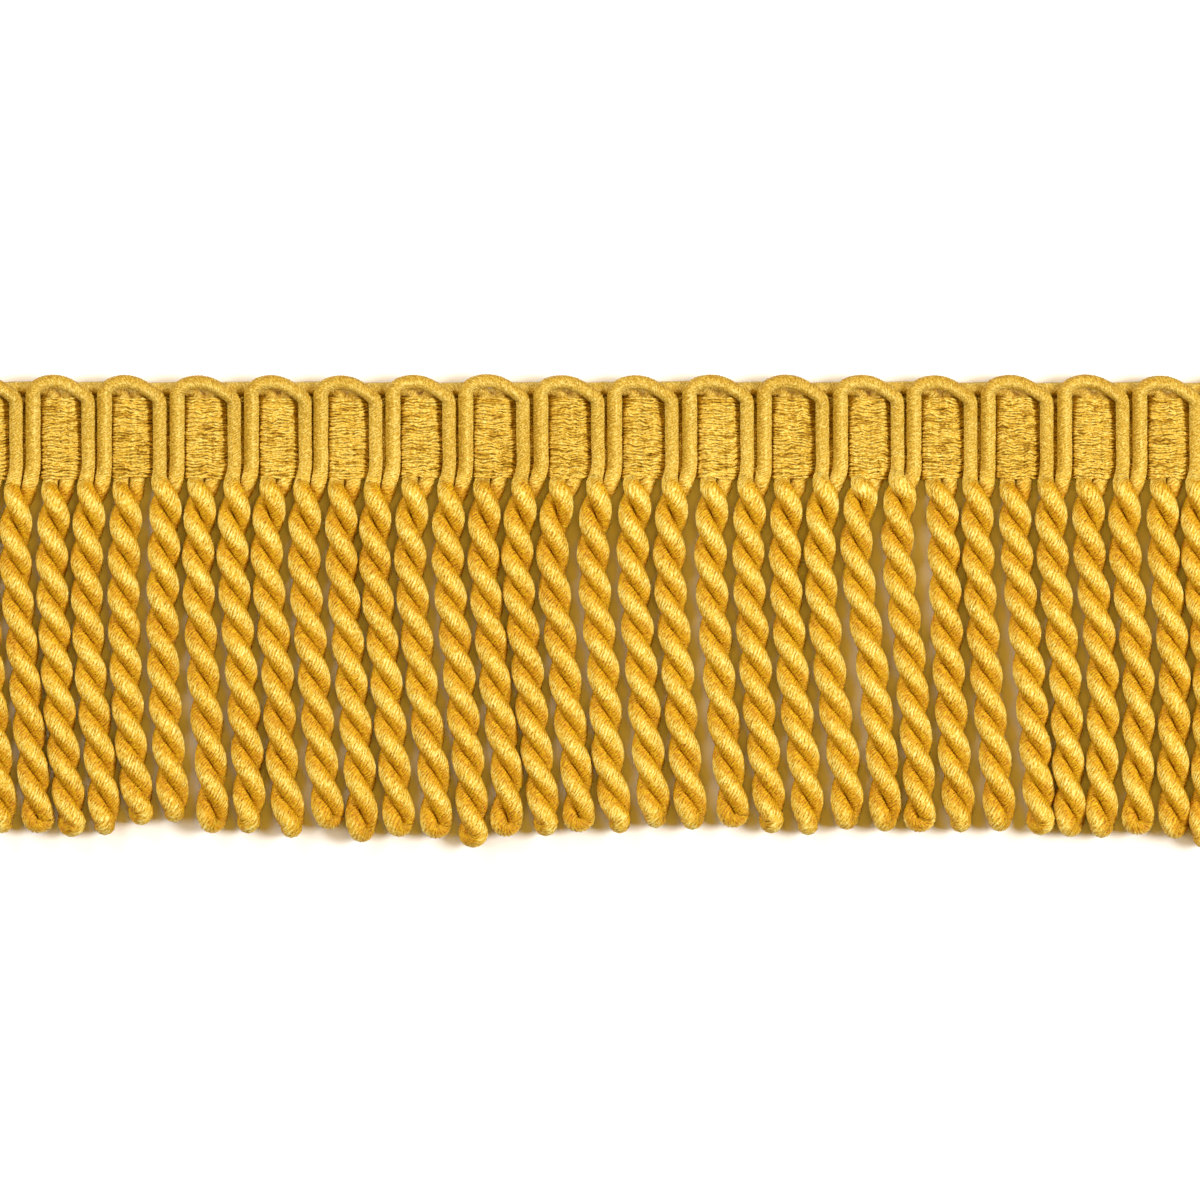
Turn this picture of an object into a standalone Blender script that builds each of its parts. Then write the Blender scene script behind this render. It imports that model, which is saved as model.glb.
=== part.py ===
"""Cord fringe trim, lying flat with its heading along the top and its cords hanging down the page.

The frame is in metres. +X runs along the trim, +Y from the fringe towards the heading, and +Z up from
the surface it lies on. The origin is on the heading's flat back, at half the heading's height.
Sizes below are in millimetres, and MM turns them into metres.
"""

from collections import namedtuple
from math import cos, pi, sin

import bpy
import numpy as np

MM = 0.001
GAP = 0.3  # between one piece and the next

# Heading: a woven band. Its cords lie side by side, two in front and then two behind, all along it.
HALF_REPEAT = 6.124  # from a pair of front cords to the next pair of back cords
HEADING_SHIFT = 2.36  # the middle cord's place along the trim
HEADING_HALF = 6.64  # half the band's height
HEADING_THICK = 3.0
FRONT_LEG = 0.757  # a front cord's place, as a share of the way from a back pair to a front pair
BACK_LEG = 0.2535  # a back cord's place, likewise
GROOVE = 0.505  # the groove between a back cord and a front cord, likewise

# The band's section from the middle of a back pair (share 0) to the middle of a front pair (share 1).
Level = namedtuple("Level", "share height")
FRONT_FACE = (
    Level(0.0, 2.65),
    Level(0.12, 2.9),
    Level(BACK_LEG, 3.0),
    Level(0.39, 2.75),
    Level(GROOVE, 2.0),
    Level(0.61, 2.65),
    Level(FRONT_LEG, 3.0),
    Level(0.90, 2.6),
    Level(1.0, 1.0),
)
BACK_FACE = (
    Level(0.0, 1.4),
    Level(0.10, 0.45),
    Level(BACK_LEG, 0.0),
    Level(0.39, 0.35),
    Level(GROOVE, 1.0),
    Level(0.62, 0.0),
    Level(1.0, 0.0),
)

# Loops along the top edge: a front cord arches over each back pair, a back cord behind each front pair.
# across runs from one leg (-1) to the other (1), rise from the band (0) to the arch's top (1).
Bend = namedtuple("Bend", "across rise height")
LOOP_RADIUS = 1.2
FRONT_LOOP_RISE = 2.1
BACK_LOOP_RISE = 1.25
FRONT_LOOP = (
    Bend(-1.0, 0.0, 2.5),
    Bend(-1.0, 0.33, 2.8),
    Bend(-0.92, 0.74, 3.4),
    Bend(-0.58, 0.98, 3.3),
    Bend(-0.16, 1.0, 3.2),
    Bend(0.46, 0.78, 3.3),
    Bend(0.90, 0.52, 3.3),
    Bend(1.0, 0.30, 2.8),
    Bend(1.0, 0.0, 2.6),
)
BACK_LOOP = (
    Bend(-1.0, 0.0, 1.2),
    Bend(-1.0, 0.46, 1.2),
    Bend(-0.70, 0.96, 1.2),
    Bend(0.0, 0.95, 1.2),
    Bend(0.70, 1.0, 1.2),
    Bend(1.0, 0.46, 1.2),
    Bend(1.0, 0.0, 1.2),
)

# Fringe: each cord is two yarns twisted together, drawn as a flat bar twisted about its own axis.
CORD_HALF_WIDE = 2.3
CORD_HALF_THICK = 1.15
HALF_TURN = 6.5  # length in which the two yarns change places
TWIST_START = 7.9  # how far below the heading's middle the twist begins
STEPS_A_HALF_TURN = 4
STRIP_TALL = 1.0
STRIP_LOW = 0.2
STRIP_HIGH = 2.8
ROOT_INSIDE = 0.35  # how far a cord's root starts inside the strip
TIP_STEPS = ((1.1, 0.96), (0.0, 0.5))  # distance from the end, and share of full size
LEVELS = (10.2, 40.1, 59.7)  # where the sways top, middle and low are reached, below the heading's middle

# One row for each fringe cord, from left to right. shift moves its place in the heading off the even pitch.
# top, middle, low and tip are the sways from each level to the next, and reach is how far down it ends.
Cord = namedtuple("Cord", "shift top middle low tip reach")
CORDS = (
    Cord(0.1, -0.9, 1.2, 1.8, 0.5, 65.7),
    Cord(0.0, -0.9, 1.1, 1.8, 0.6, 65.7),
    Cord(0.0, -0.8, 0.2, 1.9, 0.5, 66.3),
    Cord(-0.3, -0.8, 0.0, 2.1, 0.3, 66.0),
    Cord(-0.7, -0.5, -0.2, 2.0, 0.7, 64.3),
    Cord(-0.6, -0.3, -0.4, 1.6, 0.5, 63.8),
    Cord(-0.5, -0.7, 0.4, 1.5, 0.1, 65.6),
    Cord(-0.5, -1.0, 0.9, 1.2, 0.0, 65.7),
    Cord(-0.5, -1.3, 1.1, 1.4, 0.8, 66.4),
    Cord(-1.1, -0.9, 1.2, 2.0, 0.5, 65.1),
    Cord(-1.6, -0.6, 1.4, 1.7, 0.2, 67.1),
    Cord(-1.5, -1.0, 1.4, 1.8, 0.5, 66.3),
    Cord(-1.5, -1.1, 1.2, 2.4, 0.1, 66.5),
    Cord(-1.6, -1.0, 1.4, 2.0, 0.2, 68.0),
    Cord(-1.8, -1.0, 1.4, 2.1, -0.1, 66.3),
    Cord(-1.5, -1.4, 0.9, 2.4, 0.3, 66.1),
    Cord(-1.3, -1.7, 1.0, 2.2, 0.1, 65.5),
    Cord(-1.4, -1.3, 1.0, 1.7, 0.8, 65.6),
    Cord(-1.6, -0.9, 1.0, 1.9, 0.6, 64.8),
    Cord(-1.3, -1.1, 0.8, 1.9, 0.6, 65.1),
    Cord(-1.1, -0.8, 1.0, 2.1, 0.4, 64.8),
    Cord(-1.1, -0.7, 0.9, 2.1, 0.4, 65.7),
    Cord(-1.1, -0.7, 0.9, 2.3, 0.2, 66.0),
    Cord(-0.8, -1.1, 1.1, 2.7, 0.0, 65.0),
    Cord(-0.4, -1.5, 2.1, 1.9, 0.0, 65.3),
    Cord(-0.7, -0.9, 2.0, 1.3, 0.1, 65.5),
    Cord(-0.9, 0.2, 1.2, 1.5, 0.4, 65.5),
    Cord(-0.7, -0.2, 1.5, 1.9, 0.3, 65.4),
    Cord(-0.6, -0.2, 2.4, 1.4, 0.2, 66.0),
    Cord(-0.3, -0.5, 2.2, 0.7, 0.3, 66.3),
    Cord(0.0, -0.7, 2.2, 0.0, 0.1, 66.4),
    Cord(0.0, -0.8, 2.1, 0.1, 0.0, 65.9),
    Cord(0.0, -0.6, 1.8, 0.0, 0.2, 66.6),
    Cord(-0.1, -0.9, 1.7, -0.3, -0.2, 68.1),
    Cord(-0.2, -0.7, 1.7, -0.3, 0.0, 66.3),
)
MIDDLE_CORD = 17  # the row of the cord nearest the middle


def seat(row):
    """Where a fringe cord's pair of yarns stands in the heading, along the trim."""
    inside = min(max(row, 0), len(CORDS) - 1)
    return HEADING_SHIFT + (row - MIDDLE_CORD) * HALF_REPEAT + CORDS[inside].shift


def place(row, share, side):
    """A point a share of the way from a back pair at this row to the front pair on one side of it."""
    start = seat(row)
    return start + share * (seat(row + side) - start)


def add_object(name, mesh, collection, colour):
    """Puts a mesh in the collection as a named object with a material of its own."""
    material = bpy.data.materials.new(name + "_yarn")
    material.use_nodes = True
    shader = material.node_tree.nodes["Principled BSDF"]
    shader.inputs["Base Color"].default_value = (*colour, 1.0)
    shader.inputs["Roughness"].default_value = 0.6
    mesh.materials.clear()
    mesh.materials.append(material)
    thing = bpy.data.objects.new(name, mesh)
    collection.objects.link(thing)
    return thing


def loft(rings, points, faces):
    """Joins a row of closed rings, each a list of points, into a body with flat ends."""
    first = len(points)
    size = len(rings[0])
    for ring in rings:
        points.extend(tuple(v * MM for v in p) for p in ring)
    for step in range(len(rings) - 1):
        low = first + step * size
        for k in range(size):
            after = (k + 1) % size
            faces.append((low + k, low + after, low + size + after, low + size + k))
    faces.append(tuple(reversed(range(first, first + size))))
    faces.append(tuple(range(first + (len(rings) - 1) * size, first + len(rings) * size)))


def mesh_of(name, points, faces):
    mesh = bpy.data.meshes.new(name)
    mesh.from_pydata(points, [], faces)
    mesh.update()
    return mesh


def join_to(thing, other):
    """Fuses another object into this one and keeps the other out of sight."""
    fuse = thing.modifiers.new("fuse", "BOOLEAN")
    fuse.operation = "UNION"
    fuse.solver = "EXACT"
    fuse.object = other


def band_section():
    """The heading's outline seen from its end: the front face left to right, then the back face."""
    front = []
    back = []
    for row in range(-1, len(CORDS)):
        window = row + row % 2
        side = 1 if window == row else -1
        for face, levels in ((front, FRONT_FACE), (back, BACK_FACE)):
            face.extend(sorted((place(window, level.share, side), level.height) for level in levels))
    outline = []
    for x, z in front + back[::-1]:
        if not outline or abs(x - outline[-1][0]) + abs(z - outline[-1][1]) > 1e-6:
            outline.append((x, z))
    return outline


def heading_mesh():
    outline = band_section()
    points, faces = [], []
    rings = [[(x, y, z) for x, z in outline] for y in (-HEADING_HALF, HEADING_HALF)]
    loft(rings, points, faces)
    return mesh_of("heading", points, faces)


def arch(left, right, rise, bends):
    """The middle line of one loop, from its left leg up and over to its right leg."""
    base = HEADING_HALF + GAP
    half = (right - left) / 2
    return [(left + half * (1 + bend.across), base + rise * bend.rise, bend.height) for bend in bends]


def cord_mesh(name, paths):
    """Round cords along the paths, each closed at both ends."""
    curve = bpy.data.curves.new(name, "CURVE")
    curve.dimensions = "3D"
    curve.bevel_depth = LOOP_RADIUS * MM
    curve.bevel_resolution = 1
    curve.use_fill_caps = True
    for path in paths:
        spline = curve.splines.new("POLY")
        spline.points.add(len(path) - 1)
        for point, spot in zip(spline.points, path):
            point.co = (*(v * MM for v in spot), 1.0)
    holder = bpy.data.objects.new(name, curve)
    bpy.context.scene.collection.objects.link(holder)
    shaped = holder.evaluated_get(bpy.context.evaluated_depsgraph_get())
    mesh = bpy.data.meshes.new_from_object(shaped)
    bpy.data.objects.remove(holder)
    return mesh


def front_loops():
    windows = range(0, len(CORDS), 2)
    return [arch(place(row, FRONT_LEG, -1), place(row, FRONT_LEG, 1), FRONT_LOOP_RISE, FRONT_LOOP) for row in windows]


def back_loops():
    pairs = range(1, len(CORDS) - 1, 2)
    return [
        arch(place(row - 1, BACK_LEG, 1), place(row + 1, BACK_LEG, -1), BACK_LOOP_RISE, BACK_LOOP) for row in pairs
    ]


def twisted_cord(row):
    """The rings of one fringe cord, from its root in the strip down to its rounded tip."""
    cord = CORDS[row]
    root = HEADING_HALF + GAP + STRIP_TALL - ROOT_INSIDE
    step = HALF_TURN / STEPS_A_HALF_TURN
    depths = [root, *np.arange(root + step, cord.reach - TIP_STEPS[0][0] - step / 2, step)]
    sizes = [1.0] * len(depths)
    for from_end, share in TIP_STEPS:
        depths.append(cord.reach - from_end)
        sizes.append(share)
    sways = np.cumsum([seat(row), cord.top, cord.middle, cord.low, cord.tip])
    stations = (0.0, *LEVELS, cord.reach)
    rings = []
    axis_height = STRIP_LOW + CORD_HALF_THICK
    for depth, size in zip(depths, sizes):
        angle = pi - pi * (depth - TWIST_START) / HALF_TURN
        across, up = cos(angle), sin(angle)
        axis_height = max(axis_height, CORD_HALF_WIDE * abs(up) + CORD_HALF_THICK * abs(across))
        x = np.interp(depth, stations, sways)
        ring = []
        for wide, thick in ((1, 1), (-1, 1), (-1, -1), (1, -1)):
            a = wide * CORD_HALF_WIDE * size
            b = thick * CORD_HALF_THICK * size
            ring.append((x + a * across - b * up, -depth, axis_height + a * up + b * across))
        rings.append(ring)
    return rings


def fringe_bodies():
    points, faces = [], []
    for row in range(len(CORDS)):
        loft(twisted_cord(row), points, faces)
    return mesh_of("twisted_cords", points, faces)


def strip_mesh():
    """The narrow strip just below the heading that holds the fringe cords' roots."""
    left = seat(0) - CORD_HALF_WIDE - GAP
    right = seat(len(CORDS) - 1) + CORD_HALF_WIDE + GAP
    top = -HEADING_HALF - GAP
    corners = ((left, STRIP_LOW), (left, STRIP_HIGH), (right, STRIP_HIGH), (right, STRIP_LOW))
    points, faces = [], []
    loft([[(x, y, z) for x, z in corners] for y in (top, top - STRIP_TALL)], points, faces)
    return mesh_of("fringe", points, faces)


def main():
    for thing in list(bpy.data.objects):
        bpy.data.objects.remove(thing)
    trim = bpy.data.collections.new("cord_fringe_trim")
    helpers = bpy.data.collections.new("helpers")
    for collection in (trim, helpers):
        bpy.context.scene.collection.children.link(collection)

    add_object("heading", heading_mesh(), trim, (0.66, 0.38, 0.05))
    loop_edge = add_object("loop_edge", cord_mesh("front_loops", front_loops()), trim, (0.62, 0.38, 0.08))
    behind = add_object("loops_behind", cord_mesh("back_loops", back_loops()), helpers, (0.5, 0.3, 0.05))
    join_to(loop_edge, behind)
    fringe = add_object("fringe", strip_mesh(), trim, (0.60, 0.32, 0.03))
    strands = add_object("fringe_cords", fringe_bodies(), helpers, (0.60, 0.32, 0.03))
    join_to(fringe, strands)
    for helper in (behind, strands):
        helper.hide_render = True
        helper.display_type = "WIRE"


main()
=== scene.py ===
"""The look of the cord fringe trim: twisted yarns, loops and the threads woven through the heading.

Sizes are in millimetres, and depths are counted down from the middle of the heading. Lights, floor and camera
are in metres.
"""

from collections import namedtuple

import bpy
import numpy as np
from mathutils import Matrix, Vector


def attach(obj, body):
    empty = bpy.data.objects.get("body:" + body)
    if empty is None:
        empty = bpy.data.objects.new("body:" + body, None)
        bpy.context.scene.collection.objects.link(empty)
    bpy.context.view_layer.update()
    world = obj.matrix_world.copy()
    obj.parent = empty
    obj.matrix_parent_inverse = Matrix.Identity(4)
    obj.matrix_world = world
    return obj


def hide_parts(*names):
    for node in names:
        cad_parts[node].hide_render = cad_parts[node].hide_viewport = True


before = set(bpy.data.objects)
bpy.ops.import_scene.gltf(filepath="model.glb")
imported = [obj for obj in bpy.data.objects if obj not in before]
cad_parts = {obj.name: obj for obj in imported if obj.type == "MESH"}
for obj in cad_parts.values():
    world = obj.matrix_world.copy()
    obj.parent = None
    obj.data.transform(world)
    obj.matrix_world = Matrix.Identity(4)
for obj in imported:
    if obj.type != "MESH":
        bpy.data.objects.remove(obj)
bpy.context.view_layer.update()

MM = 0.001
rng = np.random.default_rng(7)

# Places along the trim, as in the solids.
HALF_REPEAT = 6.124
HEADING_SHIFT = 2.36
MIDDLE_CORD = 17
HEADING_HALF = 6.64
LEFT_LEG = 0.755  # shares of the way from a window to a front pair
RIGHT_LEG = 0.783
BACK_LEG = 0.235

# One row for each fringe cord. shift moves its place in the heading off the even pitch, and the sways
# top, middle, low and tip are from each level to the next. reach is how far down it ends, start is how far
# down its twist begins, and turns is the number of half turns from there to the tip.
Cord = namedtuple("Cord", "shift top middle low tip reach start turns")
CORDS = (
    Cord(0.1, -0.9, 1.2, 1.8, 0.5, 65.7, 6.3, 8.50),
    Cord(0.0, -0.9, 1.1, 1.8, 0.7, 65.7, 8.2, 8.05),
    Cord(0.0, -0.8, 0.2, 1.9, 0.8, 66.3, 8.0, 8.75),
    Cord(-0.3, -0.8, 0.0, 2.1, 0.3, 66.0, 7.5, 8.50),
    Cord(-0.7, -0.5, -0.2, 2.0, 1.0, 64.3, 8.0, 8.65),
    Cord(-0.6, -0.3, -0.4, 1.6, 0.4, 63.8, 6.2, 8.50),
    Cord(-0.5, -0.7, 0.4, 1.5, -0.1, 65.6, 6.2, 8.25),
    Cord(-0.5, -1.0, 0.9, 1.2, -0.2, 65.7, 6.8, 8.60),
    Cord(-0.5, -1.3, 1.1, 1.4, 1.4, 66.4, 6.1, 8.45),
    Cord(-1.1, -0.9, 1.2, 2.0, 0.9, 65.1, 7.5, 8.25),
    Cord(-1.6, -0.6, 1.4, 1.7, 0.0, 67.1, 7.7, 8.30),
    Cord(-1.5, -1.0, 1.4, 1.8, 0.6, 66.3, 7.9, 8.25),
    Cord(-1.5, -1.1, 1.2, 2.4, 0.1, 66.5, 6.4, 8.15),
    Cord(-1.6, -1.0, 1.4, 2.0, 0.4, 68.0, 7.7, 8.80),
    Cord(-1.8, -1.0, 1.4, 2.1, -0.5, 66.3, 7.0, 8.15),
    Cord(-1.5, -1.4, 0.9, 2.4, 0.8, 66.1, 6.6, 8.65),
    Cord(-1.3, -1.7, 1.0, 2.2, 0.0, 65.5, 5.5, 8.05),
    Cord(-1.4, -1.3, 1.0, 1.7, 1.6, 65.6, 6.5, 8.55),
    Cord(-1.6, -0.9, 1.0, 1.9, 0.7, 64.8, 5.8, 8.45),
    Cord(-1.3, -1.1, 0.8, 1.9, 0.8, 65.1, 6.2, 8.40),
    Cord(-1.1, -0.8, 1.0, 2.1, 0.4, 64.8, 6.2, 8.10),
    Cord(-1.1, -0.7, 0.9, 2.1, 0.7, 65.7, 6.7, 8.65),
    Cord(-1.1, -0.7, 0.9, 2.3, 0.2, 66.0, 6.6, 8.50),
    Cord(-0.8, -1.1, 1.1, 2.7, -0.2, 65.0, 5.6, 8.40),
    Cord(-0.4, -1.5, 2.1, 1.9, 0.0, 65.3, 4.0, 8.35),
    Cord(-0.7, -0.9, 2.0, 1.3, 0.0, 65.5, 4.0, 9.00),
    Cord(-0.9, 0.2, 1.2, 1.5, 0.7, 65.5, 6.7, 8.55),
    Cord(-0.7, -0.2, 1.5, 2.0, 0.3, 65.4, 7.1, 8.40),
    Cord(-0.6, -0.2, 2.4, 1.6, 0.4, 66.0, 7.8, 8.80),
    Cord(-0.3, -0.5, 2.2, 0.7, 0.3, 66.3, 6.8, 8.35),
    Cord(0.0, -0.7, 2.2, -0.2, 0.0, 66.4, 6.1, 8.40),
    Cord(0.0, -0.8, 2.1, -0.1, 0.0, 65.9, 6.1, 8.10),
    Cord(0.0, -0.6, 1.8, -0.2, 0.5, 66.6, 6.5, 8.30),
    Cord(-0.1, -0.9, 1.7, -0.5, -0.6, 68.1, 6.3, 8.50),
    Cord(-0.2, -0.7, 1.7, -0.3, -0.2, 66.3, 6.3, 8.50),
)
LEVELS = (10.2, 40.1, 59.7)

# Yarn: a core wrapped in fine threads.
WRAPS = 10  # threads side by side around a yarn
WRAP_ADVANCE = 0.43  # one thread's width along the yarn
RING_STEP = 0.43
PATH_STEP = 0.15
ARCH_STEP = 0.1
YARN_WANDER = 0.016  # the unevenness of a yarn's surface
LEFT_LEG_RADIUS = 1.31
RIGHT_LEG_RADIUS = 1.19
BACK_LEG_RADIUS = 1.15
LOOP_RADIUS = 1.18
PLY_OUT = 1.38  # half sizes of a fringe cord's yarn, out from the cord's middle and along the cord
PLY_ALONG = 1.57
PLY_SPREAD = 0.12  # how much wider the inner side of each yarn is, where the two press together
PLY_CENTRE = 1.36  # from a fringe cord's own middle line to the middle of each of its two yarns
TIP_DROP = 0.8  # how deep a tip's bend is, as a share of its half width
TIP_SHRINK = 0.98
EARLY_TWIST = 0.07  # how much tighter a cord is twisted near its top
LEG_SOFTNESS = 0.012  # how far the wrapping threads stand out, on a leg and on a fringe cord
PLY_SOFTNESS = 0.036
FLOOR_GAP = 0.03  # between a fringe cord and the floor
FRONT_LEG_HEIGHT = 1.75
BACK_LEG_HEIGHT = 1.3
ARCH_RISE = 0.85  # how much higher a front leg is at its top
# The depths between which a leg swells into a fringe cord's yarn, and the twist comes in. The first is for a
# back pair and the second for a front pair.
Onset = namedtuple("Onset", "swell swollen twist twisted")
ONSETS = (Onset(4.0, 6.2, 6.2, 9.8), Onset(4.6, 7.6, 4.8, 9.5))
FRONT_TOP = -5.4  # how far down the straight legs begin, below the arches
BACK_TOP = -6.2
SPLIT_DEPTH = 7.3  # where a heading cord's piece gives way to a fringe cord's piece, on the same yarn

# The arch of a loop, from leg to leg. across is -1 to 1 between the legs, up is above the heading's middle.
Bend = namedtuple("Bend", "across up height")
FRONT_ARCH = (
    Bend(-1.0, 6.2, 2.6),
    Bend(-0.99, 7.75, 2.95),
    Bend(-0.82, 8.78, 3.15),
    Bend(-0.54, 9.30, 3.2),
    Bend(-0.20, 9.45, 3.15),
    Bend(0.155, 9.10, 3.15),
    Bend(0.50, 8.25, 3.2),
    Bend(0.80, 7.35, 3.1),
    Bend(0.97, 6.5, 2.85),
    Bend(1.0, 5.6, 2.55),
)
BACK_ARCH = (
    Bend(-1.0, 6.2, 1.40),
    Bend(-1.0, 7.15, 1.30),
    Bend(-0.90, 7.80, 1.22),
    Bend(-0.66, 8.12, 1.22),
    Bend(-0.33, 8.20, 1.22),
    Bend(0.0, 8.25, 1.22),
    Bend(0.36, 8.27, 1.22),
    Bend(0.68, 8.15, 1.22),
    Bend(0.91, 7.80, 1.22),
    Bend(1.0, 7.15, 1.30),
    Bend(1.0, 6.2, 1.40),
)

# Threads woven through the heading: over each back pair and behind each front pair.
THREAD_ROWS = 34
THREAD_TOP = 6.55
THREAD_BOTTOM = -6.45
THREAD_RADIUS = 0.205
THREAD_STEP = 0.4
Level = namedtuple("Level", "share height")
THREAD_LEFT = (
    Level(0.0, 2.62),
    Level(0.11, 2.86),
    Level(0.25, 2.98),
    Level(0.37, 2.75),
    Level(0.44, 2.4),
    Level(0.50, 1.9),
    Level(0.55, 1.1),
    Level(0.62, 0.5),
    Level(0.757, 0.3),
    Level(0.88, 0.5),
    Level(1.0, 1.7),
)
THREAD_RIGHT = (
    Level(0.0, 2.62),
    Level(0.09, 2.88),
    Level(0.16, 2.90),
    Level(0.215, 2.62),
    Level(0.265, 2.90),
    Level(0.32, 3.02),
    Level(0.365, 2.90),
    Level(0.405, 2.45),
    Level(0.45, 1.95),
    Level(0.50, 1.60),
    Level(0.56, 1.30),
    Level(0.63, 0.80),
    Level(0.783, 0.4),
    Level(0.88, 0.5),
    Level(1.0, 1.7),
)
GROUND_DROP = 0.25  # how far the ground between the threads lies below them
GROUND_LOW = 0.12
GROUND_TOP = 8.3  # the ground's upper edge, behind the loops

# Colours from darkest to lightest.
FRINGE_TONES = ((0.38, 0.165, 0.001), (0.83, 0.52, 0.028), (1.0, 0.93, 0.33))
LOOP_TONES = ((0.42, 0.21, 0.004), (0.69, 0.44, 0.041), (0.98, 0.75, 0.21))
THREAD_TONES = ((0.34, 0.16, 0.002), (0.72, 0.45, 0.032), (0.98, 0.80, 0.22))
# Painted shade: a fringe yarn's sides, in the crease where the two yarns of a cord press together, are
# multiplied by this tint in place of the shade and orange bounce light there.
GROOVE_SHADE_TINT = (0.77, 0.565, 0.027)

Light = namedtuple("Light", "name spot size power colour")
LIGHTS = (
    Light("key", (1.30, -0.02, 1.10), 0.7, 32.0, (1.0, 1.0, 1.0)),
    Light("fill", (-1.30, 0.05, 1.10), 1.0, 15.0, (1.0, 1.0, 1.0)),
    Light("back", (-0.80, 1.15, 0.95), 1.0, 15.0, (1.0, 1.0, 1.0)),
    Light("top", (0.1, -0.03, 1.5), 1.0, 6.0, (1.0, 0.56, 0.02)),
)
LIGHT_AIM = (0, -0.03, 0)
FLOOR_HALF = 1.6
FLOOR_HEIGHT = -0.00003
VIEW_WIDTH = 0.1992
VIEW_MIDDLE = (0.0, -0.0268, 0.6)


def seat(row):
    """Where a fringe cord's pair of yarns stands in the heading, along the trim."""
    inside = min(max(row, 0), len(CORDS) - 1)
    return HEADING_SHIFT + (row - MIDDLE_CORD) * HALF_REPEAT + CORDS[inside].shift


def place(row, share, side):
    """A share of the way from one pair to its neighbour on one side."""
    start = seat(row)
    return start + share * (seat(row + side) - start)


def ease(x, start, end):
    t = np.clip((x - start) / (end - start), 0.0, 1.0)
    return t * t * (3 - 2 * t)


def smooth(x, knots, values):
    """A smooth curve through the knots."""
    knots = np.asarray(knots, float)
    values = np.asarray(values, float)
    slopes = np.gradient(values, knots)
    spot = np.clip(np.searchsorted(knots, x, side="right") - 1, 0, len(knots) - 2)
    width = knots[spot + 1] - knots[spot]
    t = (x - knots[spot]) / width
    return (
        values[spot] * (1 + 2 * t) * (1 - t) ** 2
        + slopes[spot] * width * t * (1 - t) ** 2
        + values[spot + 1] * t * t * (3 - 2 * t)
        + slopes[spot + 1] * width * t * t * (t - 1)
    )


class Yarn:
    """One long yarn, gathered stretch by stretch, then cut into pieces.

    aim points from the yarn's middle to the inner side of a loop, and to the outer side of a fringe cord.
    """

    def __init__(self):
        self.rows = []
        self.names = []

    def add(self, name, centre, aim, half_out, half_along, softness, strip=0.0):
        count = len(centre)
        columns = [np.broadcast_to(v, count) for v in (half_out, half_along, softness, strip)]
        self.rows.append(np.column_stack([centre, aim, *columns]))
        self.names += [name] * count


def leg_radius(row, side):
    if row % 2 == 0:
        return BACK_LEG_RADIUS
    return RIGHT_LEG_RADIUS if side < 0 else LEFT_LEG_RADIUS


def leg_height(row, depths):
    if row % 2 == 0:
        return BACK_LEG_HEIGHT + np.zeros_like(depths)
    return FRONT_LEG_HEIGHT + ARCH_RISE * ease(-depths, -1.0, 7.0)


def ply_path(row, side, depths):
    """One yarn of a pair: straight in the heading, then swollen and turning about the other one below it."""
    cord, onset = CORDS[row], ONSETS[row % 2]
    share = np.maximum(depths - cord.start, 0) / (cord_bottom(row) - cord.start)
    twisted = share + EARLY_TWIST * share * (1 - share)
    turned = cord.turns * twisted * ease(depths, onset.twist, onset.twisted)
    angle = np.pi * ((side < 0) - turned)
    outward = np.column_stack([np.cos(angle), np.zeros_like(angle), np.sin(angle)])
    closing = ease(depths, onset.swell, onset.swollen)
    start = leg_radius(row, side)
    out = start + (PLY_OUT - start) * closing
    along = start + (PLY_ALONG - start) * ease(depths, onset.twist - 0.3, onset.twist + 2.2)
    reach = leg_spread(row, side) + (PLY_CENTRE - leg_spread(row, side)) * closing
    half_height = np.hypot(out * np.sin(angle), 1.1 * along * np.cos(angle))
    lowest = reach * np.abs(np.sin(turned * np.pi)) + half_height
    height = np.maximum(leg_height(row, depths), np.maximum.accumulate(lowest + FLOOR_GAP))
    axis = np.column_stack([middle_line(row, depths), -depths, height])
    return axis + outward * reach[:, None], outward, out, along


def cord_bottom(row):
    """How far down the middle of a cord's tip bend is."""
    return CORDS[row].reach - PLY_OUT - TIP_DROP * PLY_CENTRE


def softness(depths):
    return LEG_SOFTNESS + (PLY_SOFTNESS - LEG_SOFTNESS) * ease(depths, 5.0, 9.0)


def leg_stretch(yarn, name, row, side, top, rising):
    """A heading cord's straight leg, on one side of its pair."""
    depths = np.arange(top, SPLIT_DEPTH, PATH_STEP)
    # strip marks where the loops' painted light and shade go: the left leg of each front loop, fading out
    # downwards.
    strip = (1 - ease(depths, 4.5, 7.0)) * (row % 2 == 1 and side > 0)
    columns = (*ply_path(row, side, depths), softness(depths), strip)
    yarn.add(name, *(c[::-1] if rising else c for c in columns))


def leg_spread(row, side):
    """Half the distance between the two legs of a pair, in the heading."""
    share = BACK_LEG
    if row % 2:
        share = 1 - (RIGHT_LEG if side < 0 else LEFT_LEG)
    return share * abs(seat(row + side) - seat(row))


def middle_line(row, depths):
    cord = CORDS[row]
    sways = np.cumsum([0.0, cord.top, cord.middle, cord.low, cord.tip])
    knots = (-2 * HEADING_HALF, 0.0, 5.0, *LEVELS, cord.reach)
    return seat(row) + smooth(depths, knots, (0.0, 0.0, *sways))


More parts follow.
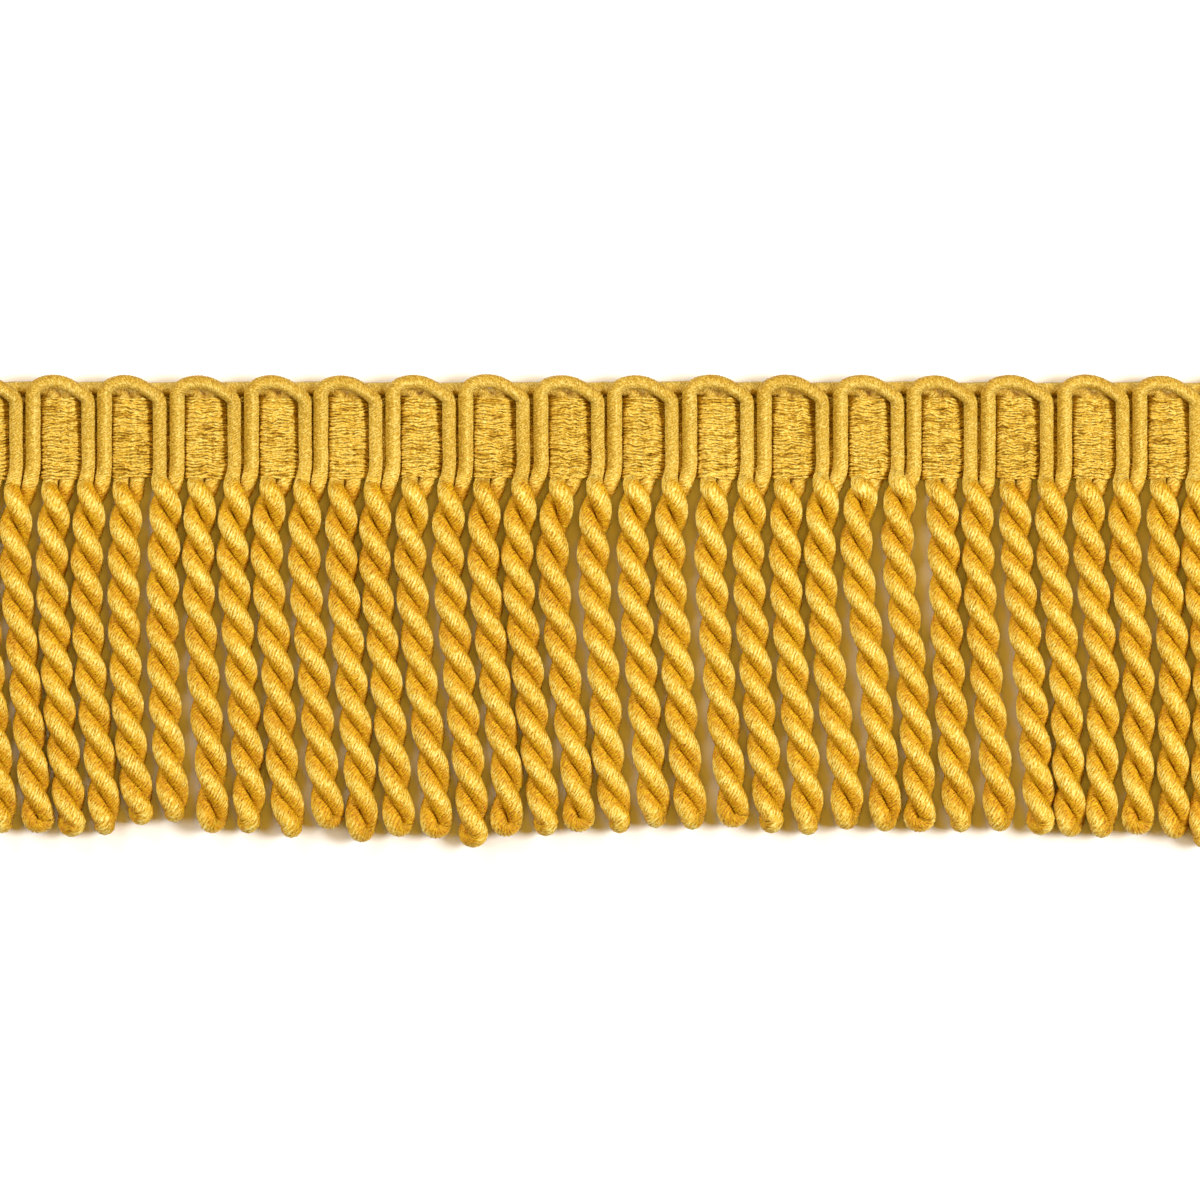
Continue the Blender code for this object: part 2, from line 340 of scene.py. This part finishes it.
def fringe_stretch(yarn, name, row):
    """One fringe cord: down the left yarn, round the tip and up the right one."""
    depths = np.arange(SPLIT_DEPTH, cord_bottom(row), PATH_STEP)
    soft = softness(depths)
    left, aims, out, along = ply_path(row, -1, depths)
    yarn.add(name, left, aims, out, along, soft)

    right, right_aims, right_out, right_along = (c[::-1] for c in ply_path(row, 1, depths))
    hub = (left[-1] + right[0]) / 2
    sweep = np.linspace(0, np.pi, 26)[1:-1]
    across = np.cos(sweep)[:, None] * aims[-1]
    fall = np.sin(sweep)[:, None] * np.array([0.0, -1.0, 0.0])
    bend = hub + (across + TIP_DROP * fall) * PLY_CENTRE
    yarn.add(name, bend, across + fall, out[-1] * TIP_SHRINK, along[-1] * TIP_SHRINK, soft[-1])

    yarn.add(name, right, right_aims, right_out, right_along, soft[::-1])


def arch_stretch(yarn, name, left, right, bends, jitter, radii, strip):
    """The arch of one loop, from the top of its left leg over to the top of its right leg.

    jitter moves the arch up or down, and radii are those of its two legs.
    """
    spots = np.array([[left + (right - left) * (b.across + 1) / 2, b.up, b.height] for b in bends])
    spots[1:-1, 1] += jitter * np.linspace(0.6, 1.0, len(bends) - 2)
    steps = np.concatenate([[0], np.cumsum(np.linalg.norm(np.diff(spots, axis=0), axis=1))])
    along = np.arange(ARCH_STEP, steps[-1], ARCH_STEP)
    path = np.column_stack([smooth(along, steps, spots[:, k]) for k in range(3)])
    heading = np.gradient(path, axis=0)
    aim = np.column_stack([heading[:, 1], -heading[:, 0], np.zeros(len(path))])
    rise, fall = ease(along, 0.0, 2.2), ease(along, steps[-1] - 2.2, steps[-1])
    radius = radii[0] + (LOOP_RADIUS - radii[0]) * rise + (radii[1] - LOOP_RADIUS) * fall
    # strip, the share that gets the loops' painted light and shade, fades out towards the right leg.
    yarn.add(name, path, aim, radius, radius * 1.04, LEG_SOFTNESS, strip * (1 - fall))


def add_mesh(name, points, faces, maps, material, normals=None):
    """An object from points in millimetres, with the yarn's own coordinates in maps."""
    mesh = bpy.data.meshes.new(name)
    mesh.vertices.add(len(points))
    mesh.vertices.foreach_set("co", (points * MM).astype(np.float32).ravel())
    mesh.loops.add(faces.size)
    mesh.loops.foreach_set("vertex_index", faces.astype(np.int32).ravel())
    mesh.polygons.add(len(faces))
    mesh.polygons.foreach_set("loop_start", np.arange(0, faces.size, 4, dtype=np.int32))
    mesh.polygons.foreach_set("loop_total", np.full(len(faces), 4, dtype=np.int32))
    mesh.polygons.foreach_set("use_smooth", np.ones(len(faces), dtype=bool))
    for title, uvs in maps.items():
        layer = mesh.uv_layers.new(name=title)
        layer.data.foreach_set("uv", uvs.astype(np.float32).ravel())
    mesh.materials.append(material)
    mesh.validate(clean_customdata=False)
    if normals is not None:
        mesh.normals_split_custom_set_from_vertices(normals)
    mesh.update()
    thing = bpy.data.objects.new(name, mesh)
    bpy.context.scene.collection.objects.link(thing)
    return thing


def unit(v):
    return v / np.maximum(np.linalg.norm(v, axis=1, keepdims=True), 1e-9)


def tube(centre, aim, out, along, depth, columns, turns, swell):
    """Rings around a path, with the cosine and sine of each point's angle from aim.

    turns is how far round each ring starts, and depth how far every other column sinks.
    """
    ahead = unit(np.gradient(centre, axis=0))
    aim = unit(aim - (aim * ahead).sum(1, keepdims=True) * ahead)
    side = np.cross(ahead, aim)
    angle = 2 * np.pi * np.arange(columns)[None, :] / columns + turns[:, None]
    ridge = np.where(np.arange(columns) % 2 == 0, 1.0, -1.0)[None, :] * depth[:, None] + swell
    pressed = PLY_SPREAD * np.clip(depth - LEG_SOFTNESS, 0, None) / (PLY_SOFTNESS - LEG_SOFTNESS)
    spread = 1 + pressed[:, None] * np.clip(0.7 - np.cos(angle), 0, 1)
    a = (out[:, None] + ridge) * np.cos(angle)
    b = (along[:, None] * spread + ridge) * np.sin(angle)
    points = centre[:, None, :] + a[:, :, None] * aim[:, None, :] + b[:, :, None] * side[:, None, :]
    return points, np.stack([np.cos(angle), np.sin(angle)], axis=-1)


def tube_faces(rings, columns, repeat, lengths):
    """Faces and yarn coordinates of a closed tube: around from 0 to repeat, and along in millimetres."""
    j = np.arange(rings - 1)[:, None]
    k = np.arange(columns)[None, :]
    after = (k + 1) % columns
    ring, next_ring = j * columns, (j + 1) * columns
    faces = np.stack([ring + k, ring + after, next_ring + after, next_ring + k], axis=-1)
    u0, u1 = k * repeat / columns + 0 * j, (k + 1) * repeat / columns + 0 * j
    v0, v1 = lengths[j] + 0 * k, lengths[j + 1] + 0 * k
    uvs = np.stack([np.stack(corner, -1) for corner in ((u0, v0), (u1, v0), (u1, v1), (u0, v1))], -2)
    caps = end_caps(rings, columns)
    cap_uvs = np.tile([0.5, 0.0], (len(caps) * 4, 1))
    return np.concatenate([faces.reshape(-1, 4), caps]), np.concatenate([uvs.reshape(-1, 2), cap_uvs])


def end_caps(rings, columns):
    """Quads across both ends of a tube, a strip of them over each ring."""
    faces = []
    for base, flip in ((0, True), ((rings - 1) * columns, False)):
        for k in range(columns // 2 - 1):
            quad = [base + k, base + k + 1, base + columns - 2 - k, base + columns - 1 - k]
            faces.append(quad[::-1] if flip else quad)
    return np.array(faces)


def cut_yarn(yarn, material):
    """Rings all along a yarn, one step apart, shared out to its pieces."""
    table = np.concatenate(yarn.rows)
    names = np.array(yarn.names)
    steps = np.concatenate([[0], np.cumsum(np.linalg.norm(np.diff(table[:, :3], axis=0), axis=1))])
    keep = np.concatenate([[True], np.diff(steps) > 1e-4])
    table, names, steps = table[keep], names[keep], steps[keep]
    spots = np.arange(0, steps[-1], RING_STEP)
    rows = np.column_stack([np.interp(spots, steps, table[:, k]) for k in range(table.shape[1])])
    owner = names[np.searchsorted(steps, spots, side="right") - 1]
    columns = 2 * WRAPS
    turns = spots * 2 * np.pi / WRAPS / WRAP_ADVANCE
    wander = rng.normal(0, 1, (len(spots) // 3 + 2, columns))
    swell = np.empty((len(spots), columns))
    for k in range(columns):
        swell[:, k] = np.interp(np.arange(len(spots)) / 3, np.arange(len(wander)), wander[:, k])
    swell *= YARN_WANDER
    centre, aim, (out, along, depth, strip) = rows[:, 0:3], rows[:, 3:6], rows[:, 6:10].T
    points, facing = tube(centre, aim, out, along, depth, columns, turns, swell)
    around = np.roll(points, -1, axis=1) - np.roll(points, 1, axis=1)
    normals = unit(np.cross(around, np.gradient(points, axis=0)).reshape(-1, 3)).reshape(points.shape)
    fringe_share = (depth - LEG_SOFTNESS) / (PLY_SOFTNESS - LEG_SOFTNESS)
    part = np.stack([fringe_share, strip], axis=-1)
    part = np.repeat(part[:, None, :], columns, axis=1)
    made = []
    starts = [0, *(np.nonzero(owner[1:] != owner[:-1])[0] + 1), len(spots) - 1]
    for first, last in zip(starts[:-1], starts[1:]):
        if last - first < 2:
            continue
        ring = slice(first, last + 1)
        faces, uvs = tube_faces(last + 1 - first, columns, WRAPS, spots[ring])
        maps = {
            "yarn": uvs,
            "facing": facing[ring].reshape(-1, 2)[faces.ravel()],
            "part": part[ring].reshape(-1, 2)[faces.ravel()],
        }
        body, turned_out = points[ring].reshape(-1, 3), normals[ring].reshape(-1, 3)
        made.append(add_mesh(str(owner[first]), body, faces, maps, material, turned_out))
    return made


def build_front_yarn():
    """The cords that loop over the windows, and the fringe cords between them."""
    yarn = Yarn()
    for row in range(0, len(CORDS), 2):
        loop = "front_cord_%02d" % (row // 2 + 1)
        left, right = place(row, LEFT_LEG, -1), place(row, RIGHT_LEG, 1)
        if row == 0:
            plain_leg(yarn, loop, left, rising=True)
        else:
            leg_stretch(yarn, loop, row - 1, 1, FRONT_TOP, rising=True)
        radii = (LEFT_LEG_RADIUS, RIGHT_LEG_RADIUS)
        arch_stretch(yarn, loop, left, right, FRONT_ARCH, rng.normal(0, 0.12), radii, 1.0)
        if row == len(CORDS) - 1:
            plain_leg(yarn, loop, right, rising=False)
        else:
            leg_stretch(yarn, loop, row + 1, -1, FRONT_TOP, rising=False)
            fringe_stretch(yarn, "cord_%02d" % (row + 1), row + 1)
    return yarn


def build_back_yarn():
    """The cords behind, which loop over the front pairs, and the fringe cords below the windows."""
    yarn = Yarn()
    for row in range(0, len(CORDS), 2):
        name = "back_cord_%02d" % (row // 2)
        leg_stretch(yarn, name, row, -1, BACK_TOP, rising=False)
        fringe_stretch(yarn, "cord_%02d" % row, row)
        name = "back_cord_%02d" % (row // 2 + 1)
        leg_stretch(yarn, name, row, 1, BACK_TOP, rising=True)
        if row < len(CORDS) - 1:
            left, right = place(row, BACK_LEG, 1), place(row + 2, BACK_LEG, -1)
            radii = (BACK_LEG_RADIUS, BACK_LEG_RADIUS)
            arch_stretch(yarn, name, left, right, BACK_ARCH, rng.normal(0, 0.1), radii, 0.0)
    return yarn


def plain_leg(yarn, name, x, rising):
    """The last leg at each end of the trim, which ends level with the heading's lower edge."""
    depths = np.arange(FRONT_TOP, HEADING_HALF, PATH_STEP)
    if rising:
        depths = depths[::-1]
    centre = np.column_stack([np.full_like(depths, x), -depths, leg_height(1, depths)])
    side = 1 if rising else -1
    aim = np.tile([float(side), 0.0, 0.0], (len(depths), 1))
    radius = leg_radius(1, side)
    yarn.add(name, centre, aim, radius, radius, LEG_SOFTNESS, float(rising))


def heading_threads(material):
    """The fine threads woven through the heading, joined into one piece."""
    knots, heights = [], []
    for row in range(-1, len(CORDS)):
        window = row + row % 2
        side = 1 if window == row else -1
        levels = THREAD_RIGHT if side == 1 else THREAD_LEFT
        spots = sorted((place(window, level.share, side), level.height) for level in levels)
        for x, z in spots[:-1] if row < len(CORDS) - 1 else spots:
            knots.append(x)
            heights.append(z)
    knots, heights = np.array(knots), np.array(heights)
    xs = np.arange(knots[0] + 0.3, knots[-1] - 0.3, THREAD_STEP)
    base = np.interp(xs, knots, heights)
    levels = np.linspace(THREAD_TOP, THREAD_BOTTOM, THREAD_ROWS)
    parts = [ground_strip(xs, base)]
    count = len(parts[0][0])
    columns = 4
    aim = np.tile([0.0, 1.0, 0.0], (len(xs), 1))
    patch = np.linspace(xs[0], xs[-1], len(CORDS) * 3)
    fine = np.linspace(xs[0], xs[-1], len(CORDS) * 7)
    shared, dips = rng.normal(0, 1, (2, len(fine)))
    for k, level in enumerate(levels):
        drift = 0.13 * np.interp(xs, patch, rng.normal(0, 1, len(patch)))
        shared = 0.8 * shared + 0.6 * rng.normal(0, 1, len(fine))
        waves = 0.15 * np.interp(xs, fine, shared)
        dips = 0.6 * dips + 0.8 * rng.normal(0, 1, len(fine))
        lift = 0.13 * np.interp(xs, fine, dips)
        ys = np.clip(level + drift + waves, THREAD_BOTTOM - 0.15, THREAD_TOP + 0.15)
        zs = np.maximum(base + lift * (base > 1), 0.2)
        centre = np.column_stack([xs, ys, zs])
        radius = THREAD_RADIUS * (1 + 0.15 * rng.normal(size=len(xs)))
        flat = np.zeros((len(xs), columns))
        points, _ = tube(centre, aim, radius * 1.05, radius * 0.9, 0 * xs, columns, 0 * xs, flat)
        faces, uvs = tube_faces(len(xs), columns, 2, xs + 50 * k)
        parts.append((points.reshape(-1, 3), faces + count, uvs))
        count += len(points) * columns
    points, faces, uvs = (np.concatenate(column) for column in zip(*parts))
    return add_mesh("heading_threads", points, faces, {"yarn": uvs}, material)


def ground_strip(xs, base):
    """A thin closed band under the threads, which shows between them.

    Its upper edge turns down behind the loops.
    """
    surface = np.maximum(base - GROUND_DROP, GROUND_LOW)
    edge = np.full_like(xs, GROUND_LOW)
    corners = (
        (GROUND_TOP, edge),
        (THREAD_TOP - 0.1, surface),
        (THREAD_BOTTOM + 0.1, surface),
        (THREAD_BOTTOM + 0.1, surface - 0.1),
        (THREAD_TOP - 0.1, surface - 0.1),
        (GROUND_TOP, edge - 0.1),
    )
    points = np.stack([np.column_stack([xs, np.full_like(xs, y), z]) for y, z in corners], axis=1)
    faces, uvs = tube_faces(len(xs), len(corners), len(corners), xs)
    return points.reshape(-1, 3), faces, uvs


def link(tree, start, end):
    tree.links.new(start, end)


def math_node(tree, kind, first, second=None):
    node = tree.nodes.new("ShaderNodeMath")
    node.operation = kind
    for socket, value in zip(node.inputs, (first, second)):
        if value is None:
            continue
        if isinstance(value, (int, float)):
            socket.default_value = value
        else:
            link(tree, value, socket)
    return node.outputs[0]


def noise_node(tree, vector, scale, detail=2.0, roughness=0.5):
    node = tree.nodes.new("ShaderNodeTexNoise")
    node.inputs["Scale"].default_value = scale
    node.inputs["Detail"].default_value = detail
    node.inputs["Roughness"].default_value = roughness
    link(tree, vector, node.inputs["Vector"])
    return node.outputs["Fac"]


def spread_out(tree, value, low, high):
    """Stretches a pattern's usual range to 0 to 1."""
    node = tree.nodes.new("ShaderNodeMapRange")
    node.inputs["From Min"].default_value = low
    node.inputs["From Max"].default_value = high
    link(tree, value, node.inputs["Value"])
    return node.outputs[0]


def mix_tones(tree, share, first, second, blend="MIX"):
    """Mixes a colour with another one, or with a plain tint."""
    node = tree.nodes.new("ShaderNodeMix")
    node.data_type = "RGBA"
    node.blend_type = blend
    link(tree, share, node.inputs["Factor"])
    link(tree, first, node.inputs["A"])
    if isinstance(second, tuple):
        node.inputs["B"].default_value = (*second, 1)
    else:
        link(tree, second, node.inputs["B"])
    return node.outputs["Result"]


def tone_ramp(tree, value, tones):
    ramp = tree.nodes.new("ShaderNodeValToRGB")
    ends = ramp.color_ramp.elements
    ends[0].position, ends[1].position = 0.08, 0.92
    ends[0].color, ends[1].color = (*tones[0], 1), (*tones[2], 1)
    ends.new(0.5).color = (*tones[1], 1)
    link(tree, value, ramp.inputs[0])
    return ramp.outputs[0]


def weighted(tree, parts):
    total = 0.0
    for value, share in parts:
        total = math_node(tree, "ADD", math_node(tree, "MULTIPLY", value, share), total)
    return total


def map_parts(tree, title):
    """The two coordinates of a map."""
    node = tree.nodes.new("ShaderNodeUVMap")
    node.uv_map = title
    split = tree.nodes.new("ShaderNodeSeparateXYZ")
    link(tree, node.outputs["UV"], split.inputs[0])
    return split.outputs["X"], split.outputs["Y"]


def thread_patterns(tree):
    """Fine threads wound side by side, as ridges with painted shade between them, their broken glints, which
    lighten the colour as painted highlights, and two sizes of unevenness.
    """
    around, length = map_parts(tree, "yarn")
    spot = tree.nodes.new("ShaderNodeTexCoord").outputs["Object"]
    stray = noise_node(tree, spot, 900.0)
    stray = math_node(tree, "ADD", around, math_node(tree, "MULTIPLY", stray, 1.6))
    wave = math_node(tree, "COSINE", math_node(tree, "MULTIPLY", stray, 2 * np.pi))
    wrap_ridge_shade = math_node(tree, "MULTIPLY_ADD", wave, 0.5)
    wrap_ridge_shade.node.inputs[2].default_value = 0.5
    stretched = tree.nodes.new("ShaderNodeCombineXYZ")
    link(tree, math_node(tree, "MULTIPLY", around, 2.0), stretched.inputs[0])
    link(tree, math_node(tree, "MULTIPLY", length, 1.8), stretched.inputs[1])
    glints = spread_out(tree, noise_node(tree, stretched.outputs[0], 1.0, 2.0, 0.6), 0.37, 0.65)
    mottle = spread_out(tree, noise_node(tree, spot, 2700.0, 2.0, 0.6), 0.37, 0.65)
    broad = spread_out(tree, noise_node(tree, spot, 70.0, 3.0), 0.3, 0.7)
    return wrap_ridge_shade, glints, mottle, broad


def finish_yarn(tree, colour, glints, relief, bump_height):
    """The shine, softness and relief that all the yarn has."""
    shader = tree.nodes["Principled BSDF"]
    link(tree, colour, shader.inputs["Base Color"])
    rough = tree.nodes.new("ShaderNodeMapRange")
    rough.inputs["To Min"].default_value = 0.62
    rough.inputs["To Max"].default_value = 0.36
    link(tree, glints, rough.inputs["Value"])
    link(tree, rough.outputs[0], shader.inputs["Roughness"])
    shader.inputs["Specular IOR Level"].default_value = 0.28
    shader.inputs["Sheen Weight"].default_value = 0.05
    shader.inputs["Sheen Roughness"].default_value = 0.4
    shader.inputs["Sheen Tint"].default_value = (1.0, 0.8, 0.4, 1)
    bump = tree.nodes.new("ShaderNodeBump")
    bump.inputs["Strength"].default_value = 1.0
    bump.inputs["Distance"].default_value = bump_height * MM
    link(tree, relief, bump.inputs["Height"])
    link(tree, bump.outputs[0], shader.inputs["Normal"])


def new_material(name):
    material = bpy.data.materials.new(name)
    material.use_nodes = True
    return material, material.node_tree


def cord_material():
    """The long yarns: plainer in the loops and heading, and clearly wound in the fringe, with stronger
    painted shade between the threads and brighter painted glints there.
    """
    material, tree = new_material("wound_yarn")
    wrap_ridge_shade, glints, mottle, broad = thread_patterns(tree)
    facing, _ = map_parts(tree, "facing")
    fringe, strip = map_parts(tree, "part")

    # The fringe's colour: painted shade between the wound threads and painted highlights from the glints,
    # over random mottle and broad unevenness.
    on_fringe = weighted(tree, ((wrap_ridge_shade, 0.30), (glints, 0.46), (mottle, 0.28), (broad, 0.10)))
    on_fringe = tone_ramp(tree, on_fringe, FRINGE_TONES)
    # Painted shade in the creases between a fringe cord's two yarns: the tint grows from each yarn's outer
    # crest towards its sides, only on the twisted fringe cords.
    groove_shade, twisted = spread_out(tree, facing, 0.96, 0.50), spread_out(tree, fringe, 0.6, 1.0)
    groove_shade = math_node(tree, "MULTIPLY", groove_shade, twisted)
    on_fringe = mix_tones(tree, groove_shade, on_fringe, GROOVE_SHADE_TINT, "MULTIPLY")

    # Painted light and shade on the loops and the left legs of the front loops: a slightly lighter band and a
    # painted highlight line along the inner side, and painted shade darkening the outer side.
    painted_light_strip = math_node(tree, "MULTIPLY", spread_out(tree, facing, 0.30, 0.42), strip)
    off_line = math_node(tree, "ABSOLUTE", math_node(tree, "SUBTRACT", facing, 0.22))
    painted_highlight_line = math_node(tree, "MULTIPLY", spread_out(tree, off_line, 0.16, 0.05), strip)
    outer = math_node(tree, "MULTIPLY", spread_out(tree, facing, 0.05, -0.8), strip)
    on_loop = weighted(tree, ((wrap_ridge_shade, 0.16), (glints, 0.34), (mottle, 0.46), (broad, 0.12),
                              (painted_light_strip, 0.05), (painted_highlight_line, 0.16), (outer, -0.27)))

    colour = mix_tones(tree, fringe, tone_ramp(tree, on_loop, LOOP_TONES), on_fringe)
    relief = weighted(tree, ((glints, 0.5), (mottle, 0.5), (wrap_ridge_shade, 0.2)))
    finish_yarn(tree, colour, glints, relief, 0.16)
    return material


def thread_material():
    """The fine threads woven through the heading."""
    material, tree = new_material("fine_thread")
    wrap_ridge_shade, glints, mottle, broad = thread_patterns(tree)
    flattened = tree.nodes.new("ShaderNodeMapping")
    flattened.inputs["Scale"].default_value = (0.4, 1.0, 0.4)
    link(tree, tree.nodes.new("ShaderNodeTexCoord").outputs["Object"], flattened.inputs["Vector"])
    # Painted shade: random darker patches stand in for threads sunk between the cords beneath. The threads'
    # colour also has painted shade between the wound fibres and painted highlights from the glints.
    shade_patches = spread_out(tree, noise_node(tree, flattened.outputs[0], 900.0), 0.36, 0.48)
    tone = weighted(tree, ((wrap_ridge_shade, 0.10), (glints, 0.46), (mottle, 0.34), (broad, 0.10), (shade_patches, 0.34)))
    tone = math_node(tree, "SUBTRACT", tone, 0.24)
    relief = weighted(tree, ((glints, 0.5), (mottle, 0.5)))
    finish_yarn(tree, tone_ramp(tree, tone, THREAD_TONES), glints, relief, 0.10)
    return material


def floor_material():
    material, tree = new_material("pale_floor")
    shader = tree.nodes["Principled BSDF"]
    shader.inputs["Base Color"].default_value = (0.95, 0.95, 0.95, 1)
    shader.inputs["Roughness"].default_value = 0.8
    shader.inputs["Specular IOR Level"].default_value = 0.1
    return material


def add_floor():
    mesh = bpy.data.meshes.new("floor")
    half = FLOOR_HALF
    corners = [(-half, -half, 0), (half, -half, 0), (half, half, 0), (-half, half, 0)]
    mesh.from_pydata(corners, [], [(0, 1, 2, 3)])
    mesh.materials.append(floor_material())
    floor = bpy.data.objects.new("floor", mesh)
    floor.location.z = FLOOR_HEIGHT
    bpy.context.scene.collection.objects.link(floor)


def add_light(light):
    lamp = bpy.data.lights.new(light.name, "AREA")
    lamp.shape = "DISK"
    lamp.size = light.size
    lamp.energy = light.power
    lamp.color = light.colour
    holder = bpy.data.objects.new(light.name, lamp)
    holder.location = light.spot
    direction = Vector(np.array(LIGHT_AIM) - np.array(light.spot))
    holder.rotation_euler = direction.to_track_quat("-Z", "Y").to_euler()
    bpy.context.scene.collection.objects.link(holder)


def add_world(strength):
    world = bpy.data.worlds.new("studio")
    world.use_nodes = True
    background = world.node_tree.nodes["Background"]
    background.inputs["Color"].default_value = (1, 1, 1, 1)
    background.inputs["Strength"].default_value = strength
    bpy.context.scene.world = world


def add_camera():
    """Straight above the trim, as in the photo: 199.2 mm across, and centred below the heading."""
    camera = bpy.data.cameras.new("camera")
    camera.type = "ORTHO"
    camera.ortho_scale = VIEW_WIDTH
    camera.clip_start = 0.01
    camera.clip_end = 5.0
    holder = bpy.data.objects.new("camera", camera)
    holder.location = VIEW_MIDDLE
    bpy.context.scene.collection.objects.link(holder)
    bpy.context.scene.camera = holder


wound_yarn = cord_material()
pieces = cut_yarn(build_front_yarn(), wound_yarn) + cut_yarn(build_back_yarn(), wound_yarn)
for piece in pieces:
    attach(piece, "root")
    if piece.name.startswith("cord_"):
        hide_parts("fringe")
    else:
        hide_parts("loop_edge", "heading")
threads = heading_threads(thread_material())
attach(threads, "root")
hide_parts("heading")

add_floor()
add_world(0.015)
for light in LIGHTS:
    add_light(light)
add_camera()
bpy.context.scene.view_settings.view_transform = "Standard"
